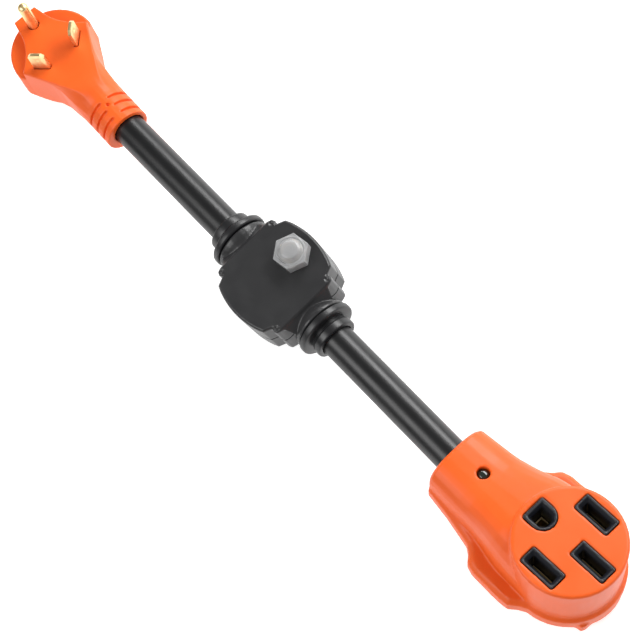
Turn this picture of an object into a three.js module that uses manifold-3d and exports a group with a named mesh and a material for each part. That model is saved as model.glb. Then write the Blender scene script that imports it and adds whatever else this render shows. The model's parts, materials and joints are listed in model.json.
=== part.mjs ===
// Power adapter lead: a three-pin 30 A plug, an in-line breaker box and a four-slot 50 A connector.
// Millimetres, +Z up, +X from the plug to the connector. The origin is the middle of the breaker
// box's flat underside. Every mesh is one separate physical piece.
import * as THREE from 'three';
import { mergeVertices } from 'three/addons/utils/BufferGeometryUtils.js';
import Module from 'manifold-3d';

const wasm = await Module();
wasm.setup();

// ---------------------------------------------------------------- driving dimensions
const GAP = 0.3;                 // air left between neighbouring pieces
const AXIS_Z = 14;               // height of the cable's axis
const CABLE_R = 8.25;            // jacket radius
const JACKET_BORE = 6.2;         // inside radius of the jacket
const WIRE_R = 2.35;             // insulated conductor radius
const BARREL_R = 3.2;            // crimp barrel radius
const BARREL_HOLE_R = 2.8;
const BARREL_LENGTH = 6;
const PLUG_AT = [-118, -1, AXIS_Z];
const PLUG_TURN = [7.2, 0, 178.8];       // degrees, applied as Z then Y then X
const PLUG_FACE = 14;            // height of the plug's flat face above the axis
const BLADE_PROJECTION = 12.4;
const BLADE_LENGTH = 8.4;
const BLADE_THICK = 1.7;
const PIN_PROJECTION = 18.4;
const PIN_R = 2.7;
const CONNECTOR_AT = [115.5, 0, AXIS_Z];
const CONNECTOR_TURN = [-15, 0, 3];
const CONNECTOR_FACE = 26;
const CONNECTOR_X = 72;          // centre of the round face
const BOX_HALF_HEIGHT = 14;
const BOX_WALL = 2.2;
const BREAKER_Y = 13.3;          // breaker button's place in the box
const JACKET_ENDS = { plug: [-140, -19.5], connector: [19.5, 129.5] };
const WIRES = { line: [2.6, -1.5], neutral: [0, 3.0], ground: [-2.6, -1.5] };

// ---------------------------------------------------------------- materials
const material = (color, roughness, metalness = 0) =>
  new THREE.MeshStandardMaterial({ color, roughness, metalness });
const ORANGE = material(0xf2622c, 0.42);
const HOUSING = material(0x3c3c3d, 0.45);
const JACKET = material(0x1c1c1d, 0.5);
const RUBBER = material(0x262628, 0.6);
const CORE = material(0x2b2c33, 0.4);
const PHENOLIC = material(0x4a3a2c, 0.6);
const CARRIER = material(0xd8d4c8, 0.6);
const BRASS = material(0xd9a552, 0.3, 1);
const STEEL = material(0xb9bcc0, 0.35, 1);
const CLEAR = material(0xd8dbdc, 0.35);
const LENS = material(0x1a211d, 0.2);
const BLACK_WIRE = material(0x202020, 0.5);
const WHITE_WIRE = material(0xe6e6e2, 0.5);
const GREEN_WIRE = material(0x2f8a45, 0.5);
const SPLICE = material(0xc8ccd0, 0.4, 1);

// ---------------------------------------------------------------- solids
// A geometry as a closed solid, faces pointing out.
function solid(geometry) {
  const bare = geometry.clone();
  for (const name of Object.keys(bare.attributes)) if (name !== 'position') bare.deleteAttribute(name);
  const merged = mergeVertices(bare, 1e-4);
  const position = merged.attributes.position;
  const index = merged.index.array;
  const triangles = [];
  let volume = 0;
  const a = new THREE.Vector3(), b = new THREE.Vector3(), c = new THREE.Vector3();
  for (let i = 0; i < index.length; i += 3) {
    const [p, q, r] = [index[i], index[i + 1], index[i + 2]];
    if (p === q || q === r || r === p) continue;
    triangles.push(p, q, r);
    a.fromBufferAttribute(position, p);
    b.fromBufferAttribute(position, q);
    c.fromBufferAttribute(position, r);
    volume += a.dot(b.cross(c));
  }
  if (volume < 0) triangles.reverse();
  return new wasm.Manifold(new wasm.Mesh({
    numProp: 3,
    vertProperties: Float32Array.from(position.array),
    triVerts: Uint32Array.from(triangles),
  }));
}

const join = (first, ...rest) => rest.reduce((whole, piece) => whole.add(piece), first);
const cut = (first, ...rest) => rest.reduce((whole, piece) => whole.subtract(piece), first);

function box(x0, x1, y0, y1, z0, z1) {
  const g = new THREE.BoxGeometry(x1 - x0, y1 - y0, z1 - z0);
  return solid(g.translate((x0 + x1) / 2, (y0 + y1) / 2, (z0 + z1) / 2));
}

function cylinderZ(r, z0, z1, x = 0, y = 0, sides = 24) {
  const g = new THREE.CylinderGeometry(r, r, z1 - z0, sides).rotateX(Math.PI / 2);
  return solid(g.translate(x, y, (z0 + z1) / 2));
}

function cylinderX(r, x0, x1, y = 0, z = 0, sides = 24) {
  const g = new THREE.CylinderGeometry(r, r, x1 - x0, sides).rotateZ(Math.PI / 2);
  return solid(g.translate((x0 + x1) / 2, y, z));
}

// A turned piece. The profile is [distance along the axis, radius] and closes on the axis.
function turned(profile, sides = 30) {
  const points = profile.map(([along, r]) => new THREE.Vector2(r, along));
  return new THREE.LatheGeometry(points, sides);
}
const turnedX = (profile, sides) => solid(turned(profile, sides).rotateZ(-Math.PI / 2));
const turnedZ = (profile, sides) => solid(turned(profile, sides).rotateX(Math.PI / 2));

const shape = (outline) => new THREE.Shape(outline.map(([x, y]) => new THREE.Vector2(x, y)));

// An outline pulled straight up from z0 to z1, its edges bevelled by the given amount.
function prism(outline, z0, z1, bevel = 0) {
  const g = new THREE.ExtrudeGeometry(shape(outline), {
    depth: z1 - z0 - 2 * bevel, bevelEnabled: bevel > 0, bevelSegments: 1,
    bevelThickness: bevel, bevelSize: bevel, bevelOffset: -bevel, steps: 1,
  });
  return solid(g.translate(0, 0, z0 + bevel));
}

// A round bar along a smooth curve through the points, with a few rings between each two points.
function bar(points, r, between = 2, sides = 8) {
  const path = new THREE.CatmullRomCurve3(points, false, 'centripetal');
  const count = (points.length - 1) * between;
  const side = new THREE.Vector3(0.31, 0.42, 0.85);
  const rings = [];
  for (let k = 0; k <= count; k += 1) {
    const centre = path.getPoint(k / count);
    const along = path.getTangent(k / count);
    side.addScaledVector(along, -side.dot(along)).normalize();
    const up = along.clone().cross(side);
    const ring = [];
    for (let i = 0; i < sides; i += 1) {
      const angle = (i / sides) * 2 * Math.PI;
      const p = centre.clone().addScaledVector(side, r * Math.cos(angle)).addScaledVector(up, r * Math.sin(angle));
      ring.push(p.toArray());
    }
    rings.push(ring);
  }
  return skin(rings);
}

// A skin through rings of points, closed by a flat cap at each end.
function skin(rings) {
  const n = rings[0].length;
  const points = rings.flat();
  const faces = [];
  for (let k = 0; k + 1 < rings.length; k += 1) {
    for (let i = 0; i < n; i += 1) {
      const [p, q] = [k * n + i, k * n + (i + 1) % n];
      faces.push(p, q, p + n, q, q + n, p + n);
    }
  }
  const last = (rings.length - 1) * n;
  for (let i = 1; i + 1 < n; i += 1) {
    faces.push(0, i + 1, i);
    faces.push(last, last + i, last + i + 1);
  }
  const g = new THREE.BufferGeometry();
  g.setAttribute('position', new THREE.Float32BufferAttribute(points.flat(), 3));
  g.setIndex(faces);
  return solid(g);
}

// One rounded cross-section at x: half-width, top, bottom and how square it is.
function section(x, halfWidth, top, bottom, power, sides = 28) {
  const ring = [];
  for (let i = 0; i < sides; i += 1) {
    const angle = (i / sides) * 2 * Math.PI;
    const [c, s] = [Math.cos(angle), Math.sin(angle)];
    const y = halfWidth * Math.sign(c) * Math.abs(c) ** (2 / power);
    const z = (s > 0 ? top : -bottom) * Math.sign(s) * Math.abs(s) ** (2 / power);
    ring.push([x, y, z]);
  }
  return ring;
}

// A cross-section at x that goes from round to faceted as k goes from 0 to 1. The faceted form has
// upright sides up to the shoulder and a flat top of half-width flat.
function faceted(x, halfWidth, top, bottom, flat, shoulder, k) {
  const upper = [[halfWidth, 0], [halfWidth, shoulder / 2], [halfWidth, shoulder],
    [(halfWidth + flat) / 2, (shoulder + top) / 2], [flat, top], [flat / 2, top], [0, top]];
  const lower = [[halfWidth, 0], [halfWidth, -bottom / 3], [halfWidth, 2.5 - bottom], [halfWidth - 0.8, 0.8 - bottom],
    [halfWidth - 3, -bottom], [halfWidth / 2, -bottom], [0, -bottom]];
  const quarter = (form, height) => form.map(([y, z], i) => {
    const angle = (i / 6) * Math.PI / 2;
    return [y * k + halfWidth * Math.cos(angle) * (1 - k), z * k + height * Math.sin(angle) * (1 - k)];
  });
  const right = [...quarter(lower, -bottom).reverse(), ...quarter(upper, top).slice(1)];
  return [...right, ...right.slice(1, -1).reverse().map(([y, z]) => [-y, z])].map(([y, z]) => [x, y, z]);
}

const mirrored = (half) => [...half, ...half.map(([x, y]) => [x, -y]).reverse()];
const bothEnds = (piece) => piece.add(piece.mirror([1, 0, 0]));

function arc(cx, cy, r, from, to, count) {
  const points = [];
  for (let i = 0; i <= count; i += 1) {
    const angle = THREE.MathUtils.degToRad(from + (to - from) * i / count);
    points.push([cx + r * Math.cos(angle), cy + r * Math.sin(angle)]);
  }
  return points;
}

// ---------------------------------------------------------------- scene graph
function group(position, degrees) {
  const g = new THREE.Group();
  g.position.set(...position);
  g.rotation.set(...degrees.map(THREE.MathUtils.degToRad), 'ZYX');
  g.updateMatrix();
  return g;
}

function add(parent, name, piece, look) {
  const mesh = piece.getMesh();
  const g = new THREE.BufferGeometry();
  g.setAttribute('position', new THREE.Float32BufferAttribute(mesh.vertProperties, 3));
  g.setIndex(new THREE.Uint32BufferAttribute(mesh.triVerts, 1));
  g.computeVertexNormals();
  const node = new THREE.Mesh(g, look);
  node.name = name;
  parent.add(node);
}

const adapter = new THREE.Group();
const plug = group(PLUG_AT, PLUG_TURN);
const breakerBox = group([0, 0, AXIS_Z], [0, 0, 0]);
const connector = group(CONNECTOR_AT, CONNECTOR_TURN);
adapter.add(plug, breakerBox, connector);

// The room a straight cable takes, seen from inside a turned group.
function cableRoom(inside, r, x0, x1) {
  const g = new THREE.CylinderGeometry(r, r, x1 - x0, 36).rotateZ(Math.PI / 2);
  g.translate((x0 + x1) / 2, 0, AXIS_Z);
  return solid(g.applyMatrix4(inside.matrix.clone().invert()));
}

// A crimp barrel along X, open at the low end.
const barrel = (x0, y, z) => cylinderX(BARREL_R, x0, x0 + BARREL_LENGTH, y, z, 14);
const barrelHole = (x0, y, z) => cylinderX(BARREL_HOLE_R, x0 - 1, x0 + BARREL_LENGTH - 1, y, z, 14);

// ---------------------------------------------------------------- plug
const PIN_X = 74.1;
const BLADE_X = 51;
const BLADE_Y = 11.2;

// The upright bar a blade fills, grown by the given amount all round.
function bladeBar(side, grow, z0, z1) {
  const g = new THREE.BoxGeometry(BLADE_LENGTH + 2 * grow, BLADE_THICK + 2 * grow, z1 - z0);
  return solid(g.rotateZ(side * Math.PI / 4).translate(BLADE_X, side * BLADE_Y, (z0 + z1) / 2));
}

function plugFaceOutline() {
  const scallop = new THREE.QuadraticBezierCurve(
    new THREE.Vector2(55.4, 20.9), new THREE.Vector2(65.7, 8.7), new THREE.Vector2(77.5, 7.6));
  const half = [[50, 17.6], [54, 20.0]];
  for (const p of scallop.getPoints(8)) half.push([p.x, p.y]);
  half.push([79.5, 7.2], [82.4, 6.6]);
  return mirrored(half);
}

function makePlugShell() {
  const body = skin([
    faceted(0, 12, 11.5, 11.5, 5, 6, 0), faceted(18.5, 12, 11.5, 11.5, 5, 6, 0),
    faceted(21.5, 12, 12.2, 11.5, 5.0, 6, 0.2), faceted(24.5, 12, 13.3, 11.4, 6.0, 6.5, 0.5),
    faceted(28, 12, 13.9, 11.2, 7.6, 7.5, 0.8), faceted(32, 12.1, 14, 11, 9.5, 9, 0.95),
    faceted(36, 12.4, 14, 10.8, 11.4, 10.5, 1), faceted(40.7, 13.9, 14, 10.6, 13.5, 12, 1),
    faceted(45, 15.8, 14, 10.5, 15.6, 12.6, 1), faceted(50, 18.2, 14, 10.5, 18.0, 12.8, 1),
    faceted(55.4, 20.9, 14, 10.5, 20.6, 13, 1),
  ]);
  const flank = mirrored([[34, 12.2], [40.7, 13.9], [45, 15.8], [50, 18.2], [55.4, 20.9], [59, 23.2], [90, 23.4]]);
  const disc = turnedZ([[-10.5, 0], [-10.5, 20.8], [-8.5, 22.8], [7.2, 22.8], [8, 22], [8, 0]], 40)
    .translate([59.8, 0, 0]).intersect(prism(flank, -20, 20));
  const face = prism(plugFaceOutline(), 0, PLUG_FACE, 0.4);
  let shell = join(body, disc, face);
  const room = mirrored([[33, 8.6], [35, 9.8], [41, 12.3], [45, 13.2], [50, 15.6], [57, 18.2], [64, 17.6], [71, 14],
    [78.4, 5]]);
  shell = cut(shell, prism(room, -7, 5.8), cableRoom(plug, CABLE_R + GAP + 0.05, -155, -110));
  for (const x of [4.0, 9.45, 14.9]) {
    const ring = cylinderX(16, x - 0.75, x + 0.75).subtract(cylinderX(10.0, x - 1, x + 1));
    shell = cut(shell, ring.subtract(box(x - 2, x + 2, -2.2, 2.2, -20, 20)));
  }
  shell = cut(shell, cylinderZ(1, 9.9, 13, 11.9, 0, 16), cylinderZ(PIN_R + GAP, 0, 20, PIN_X, 0));
  return cut(shell, bladeBar(1, GAP, 0, 20), bladeBar(-1, GAP, 0, 20));
}

function makeBladeCarrier() {
  const outline = mirrored([[44, 11.2], [50, 14.6], [57, 17.6], [64, 17.0], [71, 13.4], [78, 4.6]]);
  return cut(prism(outline, 0.4, 5.4), cylinderZ(PIN_R + GAP, 0, 7, PIN_X, 0),
    bladeBar(1, GAP, 0, 7), bladeBar(-1, GAP, 0, 7), cylinderZ(5, 0, 7, 61, 0));
}

// A flat blade with a dimple on each face near its tip and a crimp barrel at its foot.
function makeBlade(side) {
  const tip = PLUG_FACE + BLADE_PROJECTION;
  const half = BLADE_LENGTH / 2;
  const flat = [[-half, -4.4], [half, -4.4], [half, tip - 1.8], [half - 1.7, tip], [1.7 - half, tip], [-half, tip - 1.8]];
  const g = new THREE.ExtrudeGeometry(shape(flat), { depth: BLADE_THICK, bevelEnabled: false });
  g.translate(0, 0, -BLADE_THICK / 2).rotateX(Math.PI / 2);
  let blade = solid(g);
  for (const y of [1, -1]) {
    const ball = new THREE.SphereGeometry(1.9, 12, 8).translate(0, y * (BLADE_THICK / 2 + 1.45), tip - 4.4);
    blade = blade.subtract(solid(ball));
  }
  blade = blade.rotate([0, 0, side * 45]).translate([BLADE_X, side * BLADE_Y, 0]);
  const crimp = join(barrel(42, side * 8.5, -3.2), box(46.9, 49.2, side * 8.5 - 1.2, side * 8.5 + 1.2, -4.4, -2));
  return cut(join(blade, crimp), barrelHole(42, side * 8.5, -3.2));
}

// A pin rolled from strip, with a round end and the seam of the roll down one side.
function makeGroundPin() {
  const tip = PLUG_FACE + PIN_PROJECTION;
  const pin = turnedZ([[-4.4, 0], [-4.4, PIN_R], [tip - 1.9, PIN_R], [tip - 1.1, PIN_R - 0.3], [tip - 0.4, PIN_R - 1.0],
    [tip, PIN_R - 1.9], [tip, 0]], 20);
  const seam = new THREE.BoxGeometry(1.1, 0.5, tip).translate(-PIN_R, 0, PLUG_FACE + tip / 2 - 5)
    .rotateZ(THREE.MathUtils.degToRad(28));
  const crimp = join(barrel(63, 0, -3.2), box(68.2, 73, -1.6, 1.6, -4.4, -2));
  return cut(join(pin.subtract(solid(seam)).translate([PIN_X, 0, 0]), crimp), barrelHole(63, 0, -3.2));
}

add(plug, 'plug_shell', makePlugShell(), ORANGE);
add(plug, 'plug_blade_carrier', makeBladeCarrier(), CARRIER);
add(plug, 'ground_pin', makeGroundPin(), BRASS);
add(plug, 'line_blade', makeBlade(-1), BRASS);
add(plug, 'neutral_blade', makeBlade(1), BRASS);

// ---------------------------------------------------------------- breaker box
const BOX_END_X = 29.5;

function boxOutline(inset = 0) {
  const side = arc(0, -16.6, 42.1, 67.2, 90, 8).map(([x, y]) => [x, y]);
  const quarter = [[22.5, 0], [22.5, 15.4], [21.7, 17.6], [20.0, 18.4], [18.4, 17.6], [16.5, 22.0],
    ...side.slice(1)];
  const points = [];
  for (const [sx, sy] of [[1, 1], [-1, 1], [-1, -1], [1, -1]]) {
    const turn = quarter.map(([x, y]) => [sx * x, sy * y]);
    points.push(...(sx * sy > 0 ? turn : turn.reverse()).slice(sx * sy > 0 ? 1 : 0,
      sx * sy > 0 ? undefined : -1));
  }
  const keep = points.filter(([x, y], i) => {
    const [px, py] = points[(i + points.length - 1) % points.length];
    return Math.hypot(x - px, y - py) > 1e-3;
  });
  return keep.map(([x, y]) => {
    const size = Math.hypot(x, y);
    return [x * (1 - inset / size), y * (1 - inset / size)];
  });
}

function makeBoxBody() {
  const h = BOX_HALF_HEIGHT;
  const plates = prism(boxOutline(), -h, h, 0.9);
  const ends = skin([
    [[-21.4, -15, -h], [21.4, -15, -h], [21.4, 15, -h], [-21.4, 15, -h]],
    [[-28.2, -11.4, 7 - h], [28.2, -11.4, 7 - h], [28.2, 11.4, 7 - h], [-28.2, 11.4, 7 - h]],
    [[-28.2, -11.4, h - 7], [28.2, -11.4, h - 7], [28.2, 11.4, h - 7], [-28.2, 11.4, h - 7]],
    [[-21.4, -15, h], [21.4, -15, h], [21.4, 15, h], [-21.4, 15, h]],
  ]);
  const dome = turnedX([[15, 0], [15, 11.2], [22.5, 11.4], [24.5, 12.4], [26.5, 13.6], [28.2, 14.3],
    [29, 14.3], [BOX_END_X, 13.8], [BOX_END_X, 0]]);
  return join(plates, ends, bothEnds(dome));
}

const SCREW_X = 18;
const SCREW_Y = 15;
const corners = [[1, 1], [1, -1], [-1, -1], [-1, 1]];

function makeBoxRoom() {
  const h = BOX_HALF_HEIGHT - BOX_WALL;
  let room = prism(boxOutline(2.4).map(([x, y]) => [Math.max(-20.2, Math.min(20.2, x)), y]), -h, h);
  for (const [sx, sy] of corners) room = room.subtract(cylinderZ(2.9, -20, 20, sx * SCREW_X, sy * SCREW_Y, 14));
  for (const [sx, sy] of corners) {
    const x = sx * (SCREW_X + 3);
    const y = sy * (SCREW_Y + 3);
    room = room.subtract(box(x - 3, x + 3, y - 3.4, y + 3.4, -20, 20));
  }
  return join(room, bothEnds(cylinderX(10.8, 15, 40)));
}

function makeUpperShell() {
  let shell = cut(makeBoxBody(), makeBoxRoom(), box(-60, 60, -60, 60, -60, GAP / 2),
    cylinderZ(5.9, 0, 20, 0, BREAKER_Y));
  for (const [sx, sy] of corners) {
    shell = cut(shell, cylinderZ(1.6, -1, 9, sx * SCREW_X, sy * SCREW_Y, 12),
      solid(new THREE.SphereGeometry(1.6, 10, 6).translate(sx * 20, sy * 16.2, BOX_HALF_HEIGHT + 0.8)));
  }
  return shell;
}

function makeLowerShell() {
  let shell = cut(makeBoxBody(), makeBoxRoom(), box(-60, 60, -60, 60, -GAP / 2, 60));
  for (const [sx, sy] of corners) {
    shell = cut(shell, cylinderZ(1.7, -20, 1, sx * SCREW_X, sy * SCREW_Y, 12),
      cylinderZ(3.1, -20, -11.4, sx * SCREW_X, sy * SCREW_Y, 14));
  }
  return shell;
}

function makeScrew(x, y) {
  const screw = join(cylinderZ(1.3, -11.8, 7.5, x, y, 10), cylinderZ(2.7, -13.7, -11.7, x, y, 16));
  return cut(screw, box(x - 1.6, x + 1.6, y - 0.35, y + 0.35, -15, -12.8),
    box(x - 0.35, x + 0.35, y - 1.6, y + 1.6, -15, -12.8));
}

// Stepped strain-relief collar round the cable, held by the box's end.
function makeCollar() {
  const body = turnedX([[18, 0], [18, 11.4], [19.9, 11.4], [19.9, 10.4], [29.9, 10.4], [29.9, 14.4],
    [30.6, 15], [32.8, 15], [33.6, 14.4], [33.6, 9.9], [35.3, 9.9], [35.3, 10.7], [35.8, 11],
    [39.2, 11], [39.8, 10.5], [39.8, 0]]);
  return body.subtract(cylinderX(CABLE_R + GAP, 10, 50, 0, 0, 32));
}

add(breakerBox, 'housing_upper_shell', makeUpperShell(), HOUSING);
add(breakerBox, 'housing_lower_shell', makeLowerShell(), HOUSING);
corners.forEach(([sx, sy], i) =>
  add(breakerBox, `housing_screw_${i + 1}`, makeScrew(sx * SCREW_X, sy * SCREW_Y), STEEL));
add(breakerBox, 'cable_collar_connector', makeCollar(), RUBBER);
add(breakerBox, 'cable_collar_plug', makeCollar().rotate([0, 0, 180]), RUBBER);

// ---------------------------------------------------------------- breaker
const CASE = { x: 13, y0: 6.3, y1: 20.3, z: 9.5, wall: 1.6 };
const STRIP_TOP = -5.8;

function makeBreakerCase() {
  const { x, y0, y1, z, wall } = CASE;
  const inside = box(-x + wall, x - wall, y0 + wall, y1 - wall, -z - 1, z - wall);
  const button = cylinderZ(3.6, 0, 20, 0, BREAKER_Y);
  return cut(box(-x, x, y0, y1, -z, z), inside, button,
    box(-10.9, -5.1, y0 - 1, y0 + wall + 1, -z - 1, STRIP_TOP + 0.4),
    box(5.1, 10.9, y0 - 1, y0 + wall + 1, -z - 1, STRIP_TOP + 0.4));
}

function makeTerminal(side) {
  const strip = side < 0 ? box(-10.5, -5.5, 2, 14.5, STRIP_TOP - 1, STRIP_TOP)
    : box(5.5, 10.5, 2, 14.5, STRIP_TOP - 1, STRIP_TOP);
  const at = side < 0 ? -11.5 : 11.5;
  const crimp = cylinderX(3.2, Math.min(at, at - side * 6), Math.max(at, at - side * 6), 2, -6.3, 14);
  const hole = cylinderX(BARREL_HOLE_R, Math.min(at + side, at - side * 5), Math.max(at + side, at - side * 5),
    2, -6.3, 14);
  return cut(join(strip.subtract(box(-20, 20, 0, 5.1, -12, 0).intersect(cylinderX(3.2, -20, 20, 2, -6.3, 14))),
    crimp, box(Math.min(side * 5.5, side * 7.8), Math.max(side * 5.5, side * 7.8), 2, 6, STRIP_TOP - 1, STRIP_TOP)),
    hole);
}

function makeResetButton() {
  return turnedZ([[-3.9, 0], [-3.9, 1.6], [4, 1.6], [4, 3.2], [19.1, 3.2], [19.7, 2.6], [19.7, 0]], 24)
    .translate([0, BREAKER_Y, 0]);
}

function makeBushing() {
  const body = turnedZ([[9.8, 0], [9.8, 6.8], [11.4, 6.8], [11.4, 5.5], [18.0, 5.5], [18.4, 5.1], [18.4, 0]], 28);
  return body.subtract(cylinderZ(3.6, 0, 30)).translate([0, BREAKER_Y, 0]);
}

const hexagon = (r, turn) => [0, 60, 120, 180, 240, 300].map((d) => arc(0, 0, r, d + turn, d + turn, 1)[0]);

// A clear boot: six-sided skirt, stepped rings and a low dome over the button.
function makeBoot() {
  const skirt = prism(hexagon(8.95, 8), 14.3, 20.6, 0.25);
  const dome = turnedZ([[15, 0], [15, 7.4], [20.4, 7.4], [20.9, 7.1], [20.9, 6.5], [20.5, 6.1], [21.3, 5.6],
    [21.9, 5.0], [22.4, 4.7], [22.9, 4.2], [23.2, 3.0], [23.3, 1.6], [23.3, 0]], 32);
  const room = turnedZ([[10, 0], [10, 7.0], [18.3, 7.0], [18.3, 5.9], [19.4, 5.9], [20.5, 4.5], [22.2, 3.8],
    [22.2, 0]], 32);
  return join(skirt, dome).subtract(room).translate([0, BREAKER_Y, 0]);
}

function makeSpring() {
  const points = [];
  const [turns, r, z0, z1] = [5, 4.25, -3.4, 7.1];
  for (let i = 0; i <= turns * 8; i += 1) {
    const angle = (i / 8) * 2 * Math.PI;
    points.push(new THREE.Vector3(r * Math.cos(angle), BREAKER_Y + r * Math.sin(angle),
      z0 + (z1 - z0) * i / (turns * 8)));
  }
  return bar(points, 0.42, 1, 5);
}

add(breakerBox, 'breaker_case', makeBreakerCase(), PHENOLIC);
add(breakerBox, 'breaker_cover', box(-12.9, 12.9, 6.4, 20.2, -11.3, -9.9), PHENOLIC);
add(breakerBox, 'breaker_bushing', makeBushing(), BRASS);
add(breakerBox, 'boot_nut', cut(cylinderZ(6.7, 14.8, 17.6, 0, BREAKER_Y, 28),
  cylinderZ(5.8, 10, 20, 0, BREAKER_Y, 28)), STEEL);
add(breakerBox, 'seal_boot', makeBoot(), CLEAR);
add(breakerBox, 'reset_button', makeResetButton(), CORE);
add(breakerBox, 'contact_bridge', box(-9.5, 9.5, 11.8, 14.8, -5.4, -4.2), BRASS);
add(breakerBox, 'trip_spring', makeSpring(), STEEL);
add(breakerBox, 'breaker_terminal_in', makeTerminal(-1), BRASS);
add(breakerBox, 'breaker_terminal_out', makeTerminal(1), BRASS);

function makeSplice(y, z) {
  return cut(cylinderX(3.8, -8, 8, y, z, 18), cylinderX(BARREL_HOLE_R, -9, -1.5, y, z, 14),
    cylinderX(BARREL_HOLE_R, 1.5, 9, y, z, 14));
}
const NEUTRAL_SPLICE = [-8.5, 4.5];
const GROUND_SPLICE = [-12, -5.5];
add(breakerBox, 'neutral_splice', makeSplice(...NEUTRAL_SPLICE), SPLICE);
add(breakerBox, 'ground_splice', makeSplice(...GROUND_SPLICE), SPLICE);

// ---------------------------------------------------------------- connector
const HOT_Y = 16.6;
const NEUTRAL_X = 84.9;
const CORE_R = 22;
const ROOM_FLOOR = -9;

function baseOutline() {
  return mirrored([[3.5, 15], [5.5, 18.2], [20, 20.6], [35, 24], [38.5, 26.6], [41.5, 30.3], [46, 31.6],
    [62, 32], [66.8, 31.6], [70.5, 28.6], ...arc(CONNECTOR_X, 0, 26.8, 86, 0, 12)]);
}

function slotOutline(x, y, length, width, corner) {
  const [a, b] = [length / 2, width / 2];
  return [...arc(x + a - corner, y + b - corner, corner, 0, 90, 3), ...arc(x - a + corner, y + b - corner, corner, 90, 180, 3),
    ...arc(x - a + corner, y - b + corner, corner, 180, 270, 3), ...arc(x + a - corner, y - b + corner, corner, 270, 360, 3)];
}

const groundOutline = (grow) => [[50.3 - grow, 6.2 + grow], [50.3 - grow, -6.2 - grow],
  ...arc(56.6, 0, 6.2 + grow, -90, 90, 10)];

const SLOTS = [[CONNECTOR_X, HOT_Y], [CONNECTOR_X, -HOT_Y], [NEUTRAL_X, 0]];

function bosses(grow, z0, z1) {
  const straight = SLOTS.map(([x, y]) => prism(slotOutline(x, y, 18.2 + 2 * grow, 8.6 + 2 * grow, 0.6 + grow), z0, z1));
  return join(prism(groundOutline(grow), z0, z1), ...straight);
}

// A mouth that widens upward from one outline to another.
const funnel = (low, z0, high, z1) => skin([low.map(([x, y]) => [x, y, z0]), high.map(([x, y]) => [x, y, z1])]);

function makeConnectorShell() {
  const outline = baseOutline();
  const base = join(prism(outline, -12, -1.5, 2.2), prism(outline.map(([x, y]) => [x, y * 0.93]), -14, -9, 1));
  const lug = prism([[80, -17.5], [91, -16.3], [95.4, -15.3], [96.3, -13.6], [96.6, -7], [96, 0], [93.8, 8],
    [91, 15.5], [84, 20], [70, 0]], -14, -8);
  const arch = skin([
    section(4, 15.8, 11.8, -9, 2.6), section(5.5, 17.4, 13.4, -9, 2.6), section(22, 18.6, 14.2, -9, 2.6),
    section(28, 19.1, 15.4, -9, 2.7), section(34, 19.9, 17.6, -9, 2.9), section(40, 21, 20.2, -9, 3.1),
    section(47, 22.8, 23.4, -9, 3.2), section(52, 23.8, 24.9, -9, 3.1), section(60, 24.6, 25.3, -9, 2.8),
    section(71.5, 24.9, 25.3, -9, 2.6),
  ]);
  const head = turnedZ([[-8, 0], [-8, 25], [25.2, 25.2], [26, 24.4], [26, 0]], 40).translate([CONNECTOR_X, 0, 0]);
  const solidShell = join(base, lug, arch, head);
  const chamber = cylinderZ(CORE_R + GAP, ROOM_FLOOR, 20.5, CONNECTOR_X, 0, 40);
  const bay = prism(mirrored([[24, 7], [34, 12.6], [44, 14.6], [58, 15.6]]), -8.6, 5.5);
  return cut(solidShell, chamber, bay, cylinderX(8, 12, 50), bosses(GAP, 14.6, 30),
    cableRoom(connector, CABLE_R + GAP + 0.05, 110, 131),
    cylinderZ(3.1, 0, 12.9, 21.9, 0, 28), cylinderZ(3.1, 12, 20, 21.9, 0, 28));
}

const groundHole = (grow) => [[52.9 - grow, 3.7 + grow], [52.9 - grow, -3.7 - grow],
  [58 + grow, -3.7 - grow], [60.4 + grow, -1.8], [60.4 + grow, 1.8], [58 + grow, 3.7 + grow]];

function makeCore() {
  let core = join(cylinderZ(CORE_R, 3, 20.2, CONNECTOR_X, 0, 40), bosses(0, 15, CONNECTOR_FACE));
  for (const [x, y] of SLOTS) {
    const mouth = funnel(slotOutline(x, y, 13.4, 4.1, 0.5), 23.8, slotOutline(x, y, 17.1, 7.5, 0.9), 26.5);
    core = cut(core, prism(slotOutline(x, y, 13.4, 4.1, 0.5), 2, 24.5), mouth);
  }
  return cut(core, prism(groundHole(0), 2, 24.5), funnel(groundHole(0), 23.8, groundHole(1.4), 26.5));
}

// Two leaves either side of a blade's slot, with a tail under one of them.
function makeFork(x, y, tailX0, tailX1, tailEnd, tailSide) {
  const [length, gap, leaf] = [12.4, 1.9, 0.75];
  const outer = gap / 2 + leaf;
  const leaves = cut(box(x - length / 2, x + length / 2, y - outer, y + outer, 4, 13),
    box(x - length, x + length, y - gap / 2, y + gap / 2, 5, 17));
  const y0 = tailSide > 0 ? y + gap / 2 : y - outer;
  return join(leaves, box(tailX0, tailX1, y0, y0 + leaf, tailEnd, 4.5));
}

const LINE_TAIL = { x0: 70, x1: 74 };

function makeHot(side) {
  const tail = side > 0 ? -6.6 : -2.4;
  const fork = makeFork(CONNECTOR_X, side * HOT_Y, LINE_TAIL.x0, LINE_TAIL.x1, tail, -side);
  if (side < 0) return fork;
  const strap = box(66.6, 74, HOT_Y - 1.7, HOT_Y - 0.95, -6.6, -4.4);
  return cut(join(fork, strap, barrel(62, 13, -5.5)), barrelHole(62, 13, -5.5));
}

function makeNeutral() {
  const fork = makeFork(NEUTRAL_X, 0, 78.7, 82, -6.6, -1);
  const strap = box(77.2, 82, -1.7, -0.95, -6.6, -4.4);
  return cut(join(fork, strap, barrel(72, -1.35, -5.5)), barrelHole(72, -1.35, -5.5));
}

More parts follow.
